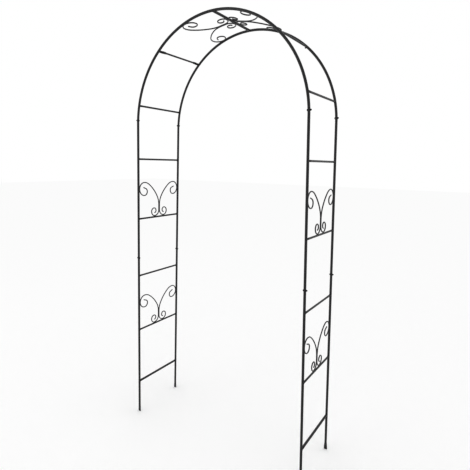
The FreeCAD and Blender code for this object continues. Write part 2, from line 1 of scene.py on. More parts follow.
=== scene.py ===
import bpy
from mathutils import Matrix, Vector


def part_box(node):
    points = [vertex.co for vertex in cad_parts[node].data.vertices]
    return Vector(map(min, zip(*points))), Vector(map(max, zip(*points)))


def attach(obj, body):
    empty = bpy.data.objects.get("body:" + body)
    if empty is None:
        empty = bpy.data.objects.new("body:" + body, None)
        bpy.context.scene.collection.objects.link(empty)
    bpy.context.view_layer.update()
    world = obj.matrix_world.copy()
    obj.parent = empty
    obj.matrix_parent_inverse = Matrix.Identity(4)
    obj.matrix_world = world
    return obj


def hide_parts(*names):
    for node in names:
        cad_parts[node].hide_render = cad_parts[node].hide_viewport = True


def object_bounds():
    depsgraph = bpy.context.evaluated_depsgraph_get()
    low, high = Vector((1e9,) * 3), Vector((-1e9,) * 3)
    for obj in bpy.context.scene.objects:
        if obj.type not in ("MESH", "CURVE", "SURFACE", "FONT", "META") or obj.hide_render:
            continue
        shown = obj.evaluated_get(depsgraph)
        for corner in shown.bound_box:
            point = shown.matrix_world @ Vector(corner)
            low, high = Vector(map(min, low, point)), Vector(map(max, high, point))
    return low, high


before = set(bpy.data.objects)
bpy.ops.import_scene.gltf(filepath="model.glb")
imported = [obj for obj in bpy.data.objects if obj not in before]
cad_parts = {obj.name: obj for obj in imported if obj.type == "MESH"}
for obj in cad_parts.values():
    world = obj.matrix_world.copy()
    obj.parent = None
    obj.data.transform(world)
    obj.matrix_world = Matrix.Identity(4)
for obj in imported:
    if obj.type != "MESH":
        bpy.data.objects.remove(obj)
CAD_BOX = [list(corner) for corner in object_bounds()]

import math

import bpy
import numpy as np
from mathutils import Matrix, Vector


# --- Ground spikes ------------------------------------------------------------
# Four feet of thin-walled round steel tube. A press pinches the lower end flat so that it
# goes into soil, and the upper end is swaged down to a plug for the post that stands on it.

SIDES = {"left": -1, "right": 1}
ENDS = {"front": -1, "back": 1}
TUBE_RADIUS = 0.0065
TUBE_WALL = 0.0012
PLUG_PLAY = 0.00015
PLUG_LENGTH = 0.038
PLUG_RADIUS = TUBE_RADIUS - TUBE_WALL - PLUG_PLAY
SHOULDER = 0.0016
RIM_EDGE = 0.0003
RIM_RUB = 0.8
PINCH_LENGTH = 0.045
BLADE_LENGTH = 0.011
BLADE_WIDTH = 0.0184
BLADE_THICKNESS = 0.003
BLADE_SQUARENESS = 5
ROUND_SIDES = 40
RIM_RINGS = 5
SHOULDER_RINGS = 9
PINCH_RINGS = 40


def middle(node):
    """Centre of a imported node's box."""
    low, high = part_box(node)
    return (low + high) / 2


def splay_of_legs():
    """Outward lean of the legs, from the centres of the lowest and the highest leg rung."""
    low, high = middle("foot_rung_right"), middle("rung_4_right")
    return math.atan2(low.x - high.x, high.z - low.z)


SPLAY = splay_of_legs()
HOOP_Y = middle("spike_right_back").y
ARCH_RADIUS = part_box("hoop_quarter_right_back")[1].x / math.cos(SPLAY) - TUBE_RADIUS
ARCH_HEIGHT = middle("crown_rung").z - ARCH_RADIUS
SPRINGING = ARCH_HEIGHT + ARCH_RADIUS * math.sin(SPLAY)


def hoop_line(side, end, along):
    """Centreline of a hoop, where along is the length from the springing line up the arch.

    Above zero the point is centre + R (cos a, sin a) with a = splay + along / R. Below zero
    it leaves on the tangent there. Returns points, outward directions and headings.
    """
    along = np.atleast_1d(np.asarray(along, float))
    angle = SPLAY + np.maximum(along, 0) / ARCH_RADIUS
    level = np.zeros_like(angle)
    out = np.stack([side * np.cos(angle), level, np.sin(angle)], -1)
    up = np.stack([-side * np.sin(angle), level, np.cos(angle)], -1)
    centre = np.array([0, end * HOOP_Y, ARCH_HEIGHT])
    return centre + ARCH_RADIUS * out + np.minimum(along, 0)[:, None] * up, out, up


def along_of(point):
    """Length along the hoop at which a point of its centreline lies."""
    if point.z < SPRINGING:
        return (point.z - SPRINGING) / math.cos(SPLAY)
    angle = math.atan2(point.z - ARCH_HEIGHT, abs(point.x))
    return (angle - SPLAY) * ARCH_RADIUS


def seam_of(node):
    """Length along the hoop of the cut rim at a tube's lower end."""
    rim_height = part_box(node)[0].z + TUBE_RADIUS * math.sin(SPLAY)
    return (rim_height - SPRINGING) / math.cos(SPLAY)


def ease(share):
    """Smooth step from 0 to 1: 3 s^2 - 2 s^3, flat at both ends."""
    share = np.clip(share, 0, 1)
    return share * share * (3 - 2 * share)


def oval(half_out, half_across, power=2.0, sides=ROUND_SIDES):
    """Rings |u / a|^p + |v / b|^p = 1, as offsets (u, v, w) out, across and ahead.

    Power 2 is an ellipse and more is boxier; w is zero.
    """
    turn = np.arange(sides) * 2 * np.pi / sides
    half_out, half_across, power = np.broadcast_arrays(half_out, half_across, power)
    bend = 2 / power[:, None]
    u = half_out[:, None] * np.sign(np.cos(turn)) * np.abs(np.cos(turn)) ** bend
    v = half_across[:, None] * np.sign(np.sin(turn)) * np.abs(np.sin(turn)) ** bend
    return np.stack([u, v, np.zeros_like(u)], -1)


def carry(line, section):
    """Carries rings along a line: point + u out + v across + w ahead, across = ahead x out."""
    point, out, ahead = line
    across = np.cross(ahead, out)
    u, v, w = (section[..., k:k + 1] for k in range(3))
    return point[:, None] + u * out[:, None] + v * across[:, None] + w * ahead[:, None]


def skin(rings, worn=0.0, hollow=False):
    """Quads between neighbouring rings, wound so that they face out.

    A hollow skin joins its last ring to its first; otherwise each end closes in a fan.
    Worn says per ring how far the finish is rubbed thin, from 0 to 1.
    """
    rows, sides = rings.shape[:2]
    row = np.arange(rows if hollow else rows - 1)[:, None]
    spot = np.arange(sides)[None, :]
    beside = (spot + 1) % sides
    ahead = (row + 1) % rows
    quads = np.stack([row * sides + spot, row * sides + beside,
                      ahead * sides + beside, ahead * sides + spot], -1).reshape(-1, 4)
    points = rings.reshape(-1, 3)
    rubbed = np.broadcast_to(np.reshape(worn, (-1, 1)), (rows, sides)).reshape(-1)
    if hollow:
        return points, rubbed, quads.tolist()
    spot, beside = spot[0], beside[0]
    last = (rows - 1) * sides
    low_fan = np.stack([np.full(sides, rows * sides), beside, spot], -1)
    high_fan = np.stack([np.full(sides, rows * sides + 1), last + spot, last + beside], -1)
    points = np.vstack([points, rings[0].mean(0), rings[-1].mean(0)])
    rubbed = np.concatenate([rubbed, rubbed[:1], rubbed[-1:]])
    return points, rubbed, quads.tolist() + low_fan.tolist() + high_fan.tolist()


def piece(name, skins, finish, slot, *nodes):
    """One object from several skins, with its place in its mesh, riding on the arch."""
    faces = []
    first = 0
    for points, _, own_faces in skins:
        faces += [[first + corner for corner in face] for face in own_faces]
        first += len(points)
    mesh = bpy.data.meshes.new(name)
    mesh.from_pydata(np.vstack([part[0] for part in skins]).tolist(), [], faces)
    mesh.polygons.foreach_set("use_smooth", np.ones(len(faces), bool))
    worn = mesh.attributes.new("worn", "FLOAT", "POINT")
    rubbed = np.concatenate([part[1] for part in skins])
    worn.data.foreach_set("value", rubbed.astype(np.float32))
    mesh.materials.append(finish)
    obj = bpy.data.objects.new(name, mesh)
    bpy.context.scene.collection.objects.link(obj)
    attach(obj, "root")
    if nodes:
        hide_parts(*nodes)
    return obj


def linear(code):
    """sRGB hex to linear RGBA: ((c + 0.055) / 1.055)^2.4, or c / 12.92 up to 0.04045."""
    values = [int(code[k:k + 2], 16) / 255 for k in (1, 3, 5)]
    return [v / 12.92 if v <= 0.04045 else ((v + 0.055) / 1.055) ** 2.4 for v in values] + [1]


def add(tree, kind, inputs, **settings):
    """Adds a shader node, sets its properties, and fills or links its inputs by name."""
    node = tree.nodes.new(kind)
    for name, value in settings.items():
        setattr(node, name, value)
    for socket, value in inputs.items():
        if isinstance(value, bpy.types.NodeSocket):
            tree.links.new(value, node.inputs[socket])
        else:
            node.inputs[socket].default_value = value
    return node


def powder_coat(name, dark, light, thin, cloud, peel, depth, seed):
    """Black polyester powder, sprayed on charged steel and baked until it flows.

    It gives a satin black with a soft sheen, faint clouding where the film is thicker, a
    fine orange peel of millimetre hills, and a greyer film where it drew back from edges.
    Cloud and peel are the widths of those patterns in metres, and depth is the peel's.
    """
    material = bpy.data.materials.new(name)
    material.use_nodes = True
    tree = material.node_tree
    tree.nodes.clear()
    place = add(tree, "ShaderNodeTexCoord", {}).outputs["Object"]
    place = add(tree, "ShaderNodeMapping", {"Vector": place, "Location": (seed, 0, seed)})
    place = place.outputs["Vector"]
    clouds = add(tree, "ShaderNodeTexNoise",
                 {"Vector": place, "Scale": 1 / cloud, "Detail": 4, "Roughness": 0.6})
    film = add(tree, "ShaderNodeMixRGB",
               {"Fac": clouds.outputs["Fac"], "Color1": linear(dark), "Color2": linear(light)})
    grains = add(tree, "ShaderNodeTexNoise",
                 {"Vector": place, "Scale": 3 / peel, "Detail": 2, "Roughness": 0.5})
    worn = add(tree, "ShaderNodeAttribute", {}, attribute_name="worn")
    patch = add(tree, "ShaderNodeMath", {0: worn.outputs["Fac"], 1: grains.outputs["Fac"]},
                operation="MULTIPLY")
    colour = add(tree, "ShaderNodeMixRGB",
                 {"Fac": patch.outputs["Value"], "Color1": film.outputs["Color"],
                  "Color2": linear(thin)})
    sheen = add(tree, "ShaderNodeMapRange",
                {"Value": grains.outputs["Fac"], "From Min": 0.3, "From Max": 0.7,
                 "To Min": 0.28, "To Max": 0.40})
    rough = add(tree, "ShaderNodeMath",
                {0: patch.outputs["Value"], 1: 0.2, 2: sheen.outputs["Result"]},
                operation="MULTIPLY_ADD")
    hills = add(tree, "ShaderNodeTexNoise",
                {"Vector": place, "Scale": 1 / peel, "Detail": 1, "Roughness": 0.4})
    bump = add(tree, "ShaderNodeBump",
               {"Height": hills.outputs["Fac"], "Distance": depth, "Strength": 1.0})
    shader = add(tree, "ShaderNodeBsdfPrincipled",
                 {"Base Color": colour.outputs["Color"], "Roughness": rough.outputs["Value"],
                  "IOR": 1.5, "Normal": bump.outputs["Normal"]})
    add(tree, "ShaderNodeOutputMaterial", {"Surface": shader.outputs["BSDF"]})
    return material


TUBE_COAT = powder_coat("satin_black_powder_coat", "#161617", "#222224", "#47474a",
                        cloud=0.050, peel=0.0018, depth=0.00008, seed=0.0)


def swage(along, seam, tube, plug):
    """Radius where a tube is swaged to a plug: a half cosine that ends at the seam."""
    share = np.clip((along - seam + SHOULDER) / SHOULDER, 0, 1)
    return plug + (tube - plug) * (1 + np.cos(np.pi * share)) / 2


def rim(along, low, high):
    """How far the cut rims at both ends are rounded off, as an inset from both walls."""
    gap = np.clip(np.minimum(np.abs(along - low), np.abs(along - high)), 0, RIM_EDGE)
    return RIM_EDGE - np.sqrt(RIM_EDGE ** 2 - (RIM_EDGE - gap) ** 2)


def stations(*stretches):
    """Stations of several stretches (start, end, count), merged in order."""
    return np.unique(np.concatenate([np.linspace(*stretch) for stretch in stretches]))


def hollow_skin(line, along, outer, inner, low, high, widen=0, squeeze=0, power=2.0, lean=0):
    """Tube wall: the outer rings upwards, and then the inner rings back down.

    Where a tube is pinched, widen adds to a ring's half width outward and squeeze takes from
    its half width across. Power is the ring's own, and lean tips it along the tube.
    """
    inset = rim(along, low, high)
    walls = []
    for radius in (outer - inset, inner + inset):
        ring = oval(radius + widen, radius - squeeze, power)
        ring[..., 2] = -ring[..., 0] * np.reshape(lean, (-1, 1))
        walls.append(carry(line, ring))
    rubbed = np.clip(inset / RIM_EDGE, 0, 1) * RIM_RUB
    return skin(np.concatenate([walls[0], walls[1][::-1]]),
                np.concatenate([rubbed, rubbed[::-1]]), hollow=True)


FOOT_SEAM = seam_of("lower_post_right_back")
TIP = -SPRINGING / math.cos(SPLAY)
along = stations((TIP, TIP + RIM_EDGE, RIM_RINGS), (TIP, TIP + PINCH_LENGTH, PINCH_RINGS),
                 (FOOT_SEAM - SHOULDER, FOOT_SEAM, SHOULDER_RINGS),
                 (FOOT_SEAM + PLUG_LENGTH - RIM_EDGE, FOOT_SEAM + PLUG_LENGTH, RIM_RINGS))
pinched = 1 - ease((along - TIP - BLADE_LENGTH) / (PINCH_LENGTH - BLADE_LENGTH))
for side_name, side in SIDES.items():
    for end_name, end in ENDS.items():
        spike = hollow_skin(
            hoop_line(side, end, along), along,
            swage(along, FOOT_SEAM, TUBE_RADIUS, PLUG_RADIUS),
            swage(along, FOOT_SEAM, TUBE_RADIUS - TUBE_WALL, PLUG_RADIUS - TUBE_WALL),
            TIP, FOOT_SEAM + PLUG_LENGTH,
            widen=pinched * (BLADE_WIDTH / 2 - TUBE_RADIUS),
            squeeze=pinched * (TUBE_RADIUS - BLADE_THICKNESS / 2),
            power=2 + pinched * (BLADE_SQUARENESS - 2), lean=pinched * math.tan(SPLAY))
        piece(f"pinched_spike_{side_name}_{end_name}", [spike], TUBE_COAT, "frame_tube",
              f"spike_{side_name}_{end_name}")


# --- Posts ----------------------------------------------------------------------
# Each leg stands on two lower posts and two upper posts, all of the same tube. The cut rim
# below is the socket for the plug of the tube under it, and the top is swaged to a plug.

MID_SEAM = seam_of("upper_post_right_back")
POST_RINGS = 12
PLUG_RINGS = 8
for side_name, side in SIDES.items():
    for end_name, end in ENDS.items():
        for level, low, seam in (("lower", FOOT_SEAM, MID_SEAM), ("upper", MID_SEAM, 0.0)):
            along = stations((low, low + RIM_EDGE, RIM_RINGS), (low, seam - SHOULDER, POST_RINGS),
                             (seam - SHOULDER, seam, SHOULDER_RINGS),
                             (seam, seam + PLUG_LENGTH, PLUG_RINGS),
                             (seam + PLUG_LENGTH - RIM_EDGE, seam + PLUG_LENGTH, RIM_RINGS))
            post = hollow_skin(
                hoop_line(side, end, along), along,
                swage(along, seam, TUBE_RADIUS, PLUG_RADIUS),
                swage(along, seam, TUBE_RADIUS - TUBE_WALL, PLUG_RADIUS - TUBE_WALL),
                low, seam + PLUG_LENGTH)
            piece(f"{level}_post_tube_{side_name}_{end_name}", [post], TUBE_COAT, "frame_tube",
                  f"{level}_post_{side_name}_{end_name}")


# --- Quarter hoops and crown stubs ------------------------------------------------
# Four quarter hoops are rolled from the same tube to one radius and left open at both ends.
# Two short curved stubs, swaged to a plug at each end, join them at the top of the arch.

ARC_STEP = 0.006
STUB_RINGS = 25
quarter_angle = math.acos(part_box("hoop_quarter_right_back")[0].x / (ARCH_RADIUS - TUBE_RADIUS))
QUARTER_END = (quarter_angle - SPLAY) * ARCH_RADIUS
CROWN = (math.pi / 2 - SPLAY) * ARCH_RADIUS
along = stations((0, RIM_EDGE, RIM_RINGS), (0, QUARTER_END, int(QUARTER_END / ARC_STEP)),
                 (QUARTER_END - RIM_EDGE, QUARTER_END, RIM_RINGS))
for side_name, side in SIDES.items():
    for end_name, end in ENDS.items():
        quarter = hollow_skin(hoop_line(side, end, along), along, TUBE_RADIUS,
                              TUBE_RADIUS - TUBE_WALL, 0, QUARTER_END)
        piece(f"quarter_hoop_tube_{side_name}_{end_name}", [quarter], TUBE_COAT, "frame_tube",
              f"hoop_quarter_{side_name}_{end_name}")

half_stub = CROWN - QUARTER_END
stub_end = half_stub + PLUG_LENGTH
from_crown = stations((-stub_end, stub_end, STUB_RINGS),
                      (-half_stub, -half_stub + SHOULDER, SHOULDER_RINGS),
                      (half_stub - SHOULDER, half_stub, SHOULDER_RINGS),
                      (-stub_end, -stub_end + RIM_EDGE, RIM_RINGS),
                      (stub_end - RIM_EDGE, stub_end, RIM_RINGS))
for end_name, end in ENDS.items():
    stub = hollow_skin(hoop_line(1, end, CROWN + from_crown), from_crown,
                       swage(np.abs(from_crown), half_stub, TUBE_RADIUS, PLUG_RADIUS),
                       PLUG_RADIUS - TUBE_WALL, -stub_end, stub_end)
    piece(f"crown_stub_tube_{end_name}", [stub], TUBE_COAT, "frame_tube",
          f"crown_stub_{end_name}")


# --- Rungs ------------------------------------------------------------------------
# Straight tubes between the hoops: full-size tube at both feet and at the crown, thinner tube
# for the ladder. Each end is coped to the round of its post and welded all the way round it.

RUNG_RADIUS = 0.005
RUNG_WALL = 0.001
RUNG_RINGS = 13
HORN_GAP = 0.002
BEAD_RADIUS = 0.0017
BEAD_PITCH = 0.0021
BEAD_SIDES = 14
BEAD_RUB = 0.15
RIPPLE = 0.09
STEPS_PER_RIPPLE = 8
weld_hand = np.random.default_rng(11)


def cope(out_offset):
    """Distance from a post's axis to its wall, sqrt(R^2 - u^2), blunt where a horn would be."""
    gap = np.sqrt(np.clip(TUBE_RADIUS ** 2 - out_offset ** 2, 0, None))
    return np.maximum(gap, HORN_GAP)


def cross_line(side, along, count, end=1):
    """Middle of the bay at one height, count times over, heading for one of its two hoops."""
    point, out, _ = hoop_line(side, 0, np.full(count, along))
    return point, out, np.broadcast_to([0.0, float(end), 0.0], (count, 3))


def coped_tube(side, along, radius, wall):
    """Tube wall from hoop to hoop, each ring's vertices stretched to the coped ends."""
    share = np.linspace(-1, 1, RUNG_RINGS)
    walls = []
    for wall_radius in (radius, radius - wall):
        ring = oval(np.full(len(share), wall_radius), wall_radius)
        ring[..., 2] = share[:, None] * (HOOP_Y - cope(ring[..., 0]))
        walls.append(carry(cross_line(side, along, len(share)), ring))
    return skin(np.concatenate([walls[0], walls[1][::-1]]), hollow=True)


def ring_bead(side, end, along, radius):
    """Weld bead on the curve where a rung meets its post.

    Its centre goes round the rung at the post's wall: r cos t, r sin t, wall. About that runs
    a small circle whose size ripples with t, in crescents that lag behind its outer side.
    Where both walls run level, at the rung's rims u = r cos t near R, it sinks by b (u / R)^8.
    """
    ripples = int(2 * np.pi * radius / BEAD_PITCH)
    steps = ripples * STEPS_PER_RIPPLE
    turn = (np.arange(steps) / steps * 2 * np.pi)[:, None]
    swing = np.arange(BEAD_SIDES) * 2 * np.pi / BEAD_SIDES
    lag, wander, start = weld_hand.uniform((0.6, 0.04, 0), (1.0, 0.10, 2 * np.pi))
    crescent = np.cos(ripples * turn + lag * np.cos(swing) + start)
    size = BEAD_RADIUS * (1 + RIPPLE * crescent + wander * np.sin(2 * turn + start))
    sunk = BEAD_RADIUS * (radius * np.cos(turn) / TUBE_RADIUS) ** 8
    reach = radius - sunk + size * np.cos(swing)
    ahead = HOOP_Y - cope(radius * np.cos(turn)) - size * np.sin(swing)
    ring = np.stack([reach * np.cos(turn), reach * np.sin(turn), ahead], -1)
    return skin(carry(cross_line(side, along, len(turn), end), ring), BEAD_RUB, hollow=True)


rungs = [("crown_rung", 1, TUBE_RADIUS, TUBE_WALL, "frame_tube")]
for side_name, side in SIDES.items():
    rungs.append((f"foot_rung_{side_name}", side, TUBE_RADIUS, TUBE_WALL, "frame_tube"))
    for number in range(1, 6):
        rungs.append((f"rung_{number}_{side_name}", side, RUNG_RADIUS, RUNG_WALL, "rung_bar"))
for node, side, radius, wall, slot in rungs:
    height = CROWN if node == "crown_rung" else along_of(middle(node))
    piece(f"{node}_tube", [coped_tube(side, height, radius, wall)], TUBE_COAT, slot, node)
    beads = [ring_bead(side, end, height, radius) for end in ENDS.values()]
    piece(f"{node}_welds", beads, TUBE_COAT, slot)


# --- Crossbars and their lugs -----------------------------------------------------
# One round bar a side, hammered flat at both ends. It is bolted on to two short flat lugs
# that are welded to the inner sides of the hoops, each with a rounded nose. The bolts fill
# their holes, so the holes are left out here.

BAR_RADIUS = 0.0045
PALM_WIDTH = 0.013
PALM_THICKNESS = 0.0025
LUG_REACH = 0.032
PALM_LENGTH = 0.018
PALM_TAPER = 0.012
PALM_RUB = 0.3
PLATE_SQUARENESS = 7
BAR_RINGS = 8
TAPER_RINGS = 14
NOSE_RINGS = 14
NOSE_START = 0.08


def nose(half_width, gap):
    """Half width of a plate with a round nose, gap before the nose's end."""
    back = np.clip(half_width - gap, 0, half_width)
    return np.sqrt(half_width ** 2 - back ** 2)


def nose_stations(half_width):
    """Gaps before the end of a round nose, h (1 - cos t), close together at its tip."""
    return half_width * (1 - np.cos(np.linspace(NOSE_START, np.pi / 2, NOSE_RINGS)))


HOLE_Y = HOOP_Y - LUG_REACH
BAR_END = HOLE_Y + PALM_WIDTH / 2
CROSSBAR = along_of(middle("crossbar_right"))
tip_gaps = nose_stations(PALM_WIDTH / 2)
taper_y = HOLE_Y - PALM_LENGTH - PALM_TAPER
one_end = np.concatenate([np.linspace(0, taper_y, BAR_RINGS),
                          np.linspace(taper_y, taper_y + PALM_TAPER, TAPER_RINGS),
                          BAR_END - tip_gaps])
bar_y = np.unique(np.concatenate([-one_end, one_end]))
flat = ease((np.abs(bar_y) - taper_y) / PALM_TAPER)
half_width = BAR_RADIUS + flat * (PALM_WIDTH / 2 - BAR_RADIUS)
half_width = np.minimum(half_width, nose(PALM_WIDTH / 2, BAR_END - np.abs(bar_y)))
half_thickness = BAR_RADIUS + flat * (PALM_THICKNESS / 2 - BAR_RADIUS)
for side_name, side in SIDES.items():
    ring = oval(half_thickness, half_width, 2 + flat * (PLATE_SQUARENESS - 2))
    ring[..., 0] += PALM_THICKNESS / 2
    ring[..., 2] = bar_y[:, None]
    bar = skin(carry(cross_line(side, CROSSBAR, len(bar_y)), ring), PALM_RUB * flat)
    piece(f"hammered_crossbar_{side_name}", [bar], TUBE_COAT, "rung_bar", f"crossbar_{side_name}")

lug_y = HOLE_Y - PALM_WIDTH / 2 + np.concatenate([tip_gaps, [LUG_REACH]])
lug_y = np.sort(lug_y)[::-1]
for side_name, side in SIDES.items():
    for end_name, end in ENDS.items():
        reach = nose(PALM_WIDTH / 2, lug_y - HOLE_Y + PALM_WIDTH / 2)
        ring = oval(np.full(len(lug_y), PALM_THICKNESS / 2), reach, PLATE_SQUARENESS)
        ring[..., 0] -= PALM_THICKNESS / 2
        ring[..., 2] = -lug_y[:, None]
        ring[0, :, 2] = cope(ring[0, :, 0]) - HOOP_Y
        line = cross_line(side, CROSSBAR, len(lug_y), -end)
        piece(f"lug_plate_{side_name}_{end_name}", [skin(carry(line, ring))], TUBE_COAT,
              "rung_bar", f"crossbar_lug_{side_name}_{end_name}")


# --- Scrolls ----------------------------------------------------------------------
# Mild-steel wire bent cold round pegs into an S, a small curl below and a big hook above.
# Two stand back to back in a bay, tacked to the rung, to their hoops and to each other.

WIRE_RADIUS = 0.003
WIRE_SIDES = 24
WIRE_STEP = 0.002
END_EDGE = 0.0011
END_RINGS = 5
END_RUB = 0.8
STEM = 0.033
CURL_RADIUS = 0.036
CURL_SHRINK = 0.78
CURL_QUARTERS = 5
LOW_RADIUS, LOW_TURN = 0.110, 30
MID_TURN = 25
TOP_RADIUS = 0.070
HOOK_RADIUS = 0.040
HOOK_INNER = 0.024
HOOK_END, HOOK_END_TURN = 0.020, 70
HOOK_TAIL = 0.020

WIRE_COAT = powder_coat("satin_black_powder_coat_on_wire", "#171718", "#232325", "#49494c",
                        cloud=0.035, peel=0.0014, depth=0.00006, seed=0.7)


def walk(spot, heading, moves):
    """Points and headings along arcs (radius, degrees, left is positive) and straights (length, 0).

    An arc is its centre plus a spoke that turns by equal steps; a straight is the spot plus
    s cos h, s sin h.
    """
    spot, heading = np.array(spot, float), math.radians(heading)
    points, headings = [spot[None]], [np.array([heading])]
    for size, degrees in moves:
        turn = math.radians(degrees)
        count = int(size * (abs(turn) or 1) / WIRE_STEP) + 4
        share = np.linspace(0, 1, count + 1)[1:]
        course = heading + turn * share
        if degrees:
            spoke = math.copysign(size, turn)
            centre = spot + spoke * np.array([-math.sin(heading), math.cos(heading)])
            path = centre + spoke * np.stack([np.sin(course), -np.cos(course)], -1)
        else:
            path = spot + size * share[:, None] * np.array([math.cos(heading), math.sin(heading)])
        points.append(path)
        headings.append(course)
        spot, heading = path[-1], heading + turn
    return np.concatenate(points), np.concatenate(headings)


def scroll_path():
    """One scroll in its own plane, x from the hoop's axis and z from the rung's surface.

    The arc that spans the bay has the one radius that lets the chain end at the hook.
    """
    stem_x = HOOP_Y - WIRE_RADIUS
    foot = (stem_x, WIRE_RADIUS + CURL_RADIUS)
    low, mid = math.radians(LOW_TURN), math.radians(LOW_TURN + MID_TURN)
    hook_x = TUBE_RADIUS + WIRE_RADIUS + HOOK_RADIUS
    span = stem_x - hook_x - LOW_RADIUS * (1 - math.cos(low)) - TOP_RADIUS * math.cos(mid)
    mid_radius = span / (math.cos(low) - math.cos(mid))
    curl, curl_heading = walk(foot, -90, [(CURL_RADIUS * CURL_SHRINK ** quarter, -90)
                                          for quarter in range(CURL_QUARTERS)])
    sweep, sweep_heading = walk(foot, 90, [
        (STEM, 0), (LOW_RADIUS, LOW_TURN), (mid_radius, MID_TURN),
        (TOP_RADIUS, 90 - LOW_TURN - MID_TURN), (HOOK_RADIUS, 90), (HOOK_RADIUS, 90),
        (HOOK_INNER, 90), (HOOK_END, HOOK_END_TURN), (HOOK_TAIL, 0)])
    points = np.concatenate([curl[:0:-1], sweep])
    headings = np.concatenate([curl_heading[:0:-1] + np.pi, sweep_heading])
    return points, headings


def wire_ends(points, headings):
    """Adds close stations at both ends, b (1 - cos t) in, and gives each station its radius.

    Over the last b of its length the wire's edge is a quarter round: r - b + sqrt(b^2 - g^2),
    where g is what is left of b.
    """
    gaps = END_EDGE * (1 - np.cos(np.linspace(0, np.pi / 2, END_RINGS + 1)[:-1]))
    first, last = (np.array([math.cos(turn), math.sin(turn)]) for turn in headings[[0, -1]])
    length = np.concatenate([[0], np.cumsum(np.hypot(*np.diff(points, axis=0).T))])
    inner = (length > END_EDGE) & (length < length[-1] - END_EDGE)
    points = np.concatenate([points[0] + gaps[:, None] * first, points[inner],
                             points[-1] - gaps[::-1, None] * last])
    turns = np.concatenate([np.full(END_RINGS, headings[0]), headings[inner],
                            np.full(END_RINGS, headings[-1])])
    gap = np.concatenate([gaps, np.full(inner.sum(), END_EDGE), gaps[::-1]])
    radius = WIRE_RADIUS - END_EDGE + np.sqrt(END_EDGE ** 2 - (END_EDGE - gap) ** 2)
    return points, turns, radius


SCROLL, SCROLL_TURN, SCROLL_RADIUS = wire_ends(*scroll_path())
TOUCH_HEIGHT = SCROLL[np.argmin(SCROLL[:, 0])][1]


def scroll_plane(level, side_name, end):
    """Corner of a scroll's plane, and its directions inward, upward and out of its face.

    On a leg the plane is the ladder's own. At the crown it lies on the chord from the crown
    rung to the place where the hook touches its hoop: sin c = (touch height + r) / 2 R.
    """
    side = SIDES[side_name]
    inward = np.array([0.0, -end, 0.0])
    if level == "crown":
        chord = math.asin((TOUCH_HEIGHT + TUBE_RADIUS) / (2 * ARCH_RADIUS))
        upward = np.array([side * math.cos(chord), 0, -math.sin(chord)])
        crown = np.array([0, end * HOOP_Y, ARCH_HEIGHT + ARCH_RADIUS])
        return crown + TUBE_RADIUS * upward, inward, upward, np.cross(inward, upward)
    rung = {"low": "rung_1_", "high": "rung_3_"}[level] + side_name
    point, out, upward = (part[0] for part in hoop_line(side, end, along_of(middle(rung))))
    return point + RUNG_RADIUS * upward, inward, upward, np.cross(inward, upward)


LEVELS = ("low", "high", "crown")
for level in LEVELS:
    for side_name in SIDES:
        for end_name, end in ENDS.items():
            corner, inward, upward, face = scroll_plane(level, side_name, end)
            path = corner + SCROLL[:, :1] * inward + SCROLL[:, 1:] * upward
            ahead = np.cos(SCROLL_TURN)[:, None] * inward + np.sin(SCROLL_TURN)[:, None] * upward
            line = (path, np.broadcast_to(face, path.shape), ahead)
            wire = skin(carry(line, oval(SCROLL_RADIUS, SCROLL_RADIUS, sides=WIRE_SIDES)),
                        np.where(SCROLL_RADIUS < WIRE_RADIUS, END_RUB, 0.0))
            piece(f"scroll_wire_{level}_{side_name}_{end_name}", [wire], WIRE_COAT,
                  "scroll_wire", f"scroll_{level}_{side_name}_{end_name}")


# --- Small welds ------------------------------------------------------------------
# Short runs of weld where round wire only just touches round tube or its twin, and along both
# faces of each lug. Each is a low lens of metal in a groove, with ripples along it. Its sizes
# are its half length, half width and half height.

TACK = (0.0060, 0.0031, 0.0014)
STEM_TACK = (0.0084, 0.0027, 0.0013)
LUG_FILLET = (0.0066, 0.0013, 0.0013)
TACK_RIPPLE = 0.07
TACK_TURN = 0.12
TACK_RINGS = 49
TACK_SIDES = 20


def tack(centre, run, gap, sizes):
    """Lens round a contact: l cos t along the run, h sin t cos p over the gap, w sin t sin p.

    Height and width ripple by a few percent with t, later on one side than on the other.
    """
    length, width, height = sizes
    turn = np.linspace(TACK_TURN, np.pi - TACK_TURN, TACK_RINGS)[:, None]
    swing = np.arange(TACK_SIDES) * 2 * np.pi / TACK_SIDES
    ripples = 2 * length / BEAD_PITCH
    lag, start = weld_hand.uniform((0.4, 0), (0.9, 2 * np.pi))
    crescent = np.cos(2 * ripples * turn + lag * np.cos(swing) + start)
    size = np.sin(turn) * (1 + TACK_RIPPLE * crescent)
    ring = np.stack([height * size * np.cos(swing), width * size * np.sin(swing),
                     -length * np.cos(turn) + 0 * size], -1)
    line = [np.broadcast_to(part, (len(turn), 3)) for part in (centre, gap, run)]
    return skin(carry(line, ring), BEAD_RUB)


FOOT_Y = HOOP_Y - WIRE_RADIUS - CURL_RADIUS
STEM_MIDDLE = WIRE_RADIUS + CURL_RADIUS + STEM / 2
for level in LEVELS:
    for side_name in SIDES:
        tacks = []
        for end in ENDS.values():
            corner, inward, upward, _ = scroll_plane(level, side_name, end)
            tacks.append(tack(corner + FOOT_Y * inward, inward, upward, TACK))
            tacks.append(tack(corner + TUBE_RADIUS * inward + TOUCH_HEIGHT * upward, upward,
                              inward, TACK))
        tacks.append(tack(corner + HOOP_Y * inward + STEM_MIDDLE * upward, upward, inward,
                          STEM_TACK))
        piece(f"scroll_tacks_{level}_{side_name}", tacks, WIRE_COAT, "scroll_wire")

for side_name, side in SIDES.items():
    fillets = []
    for end in ENDS.values():
        point, out, upward = (part[0] for part in hoop_line(side, end, CROSSBAR))
        for offset in (0, -PALM_THICKNESS):
            wall = np.array([0.0, -end * cope(offset), 0.0])
            fillets.append(tack(point + offset * out + wall, upward, out, LUG_FILLET))
    piece(f"lug_welds_{side_name}", fillets, TUBE_COAT, "rung_bar")


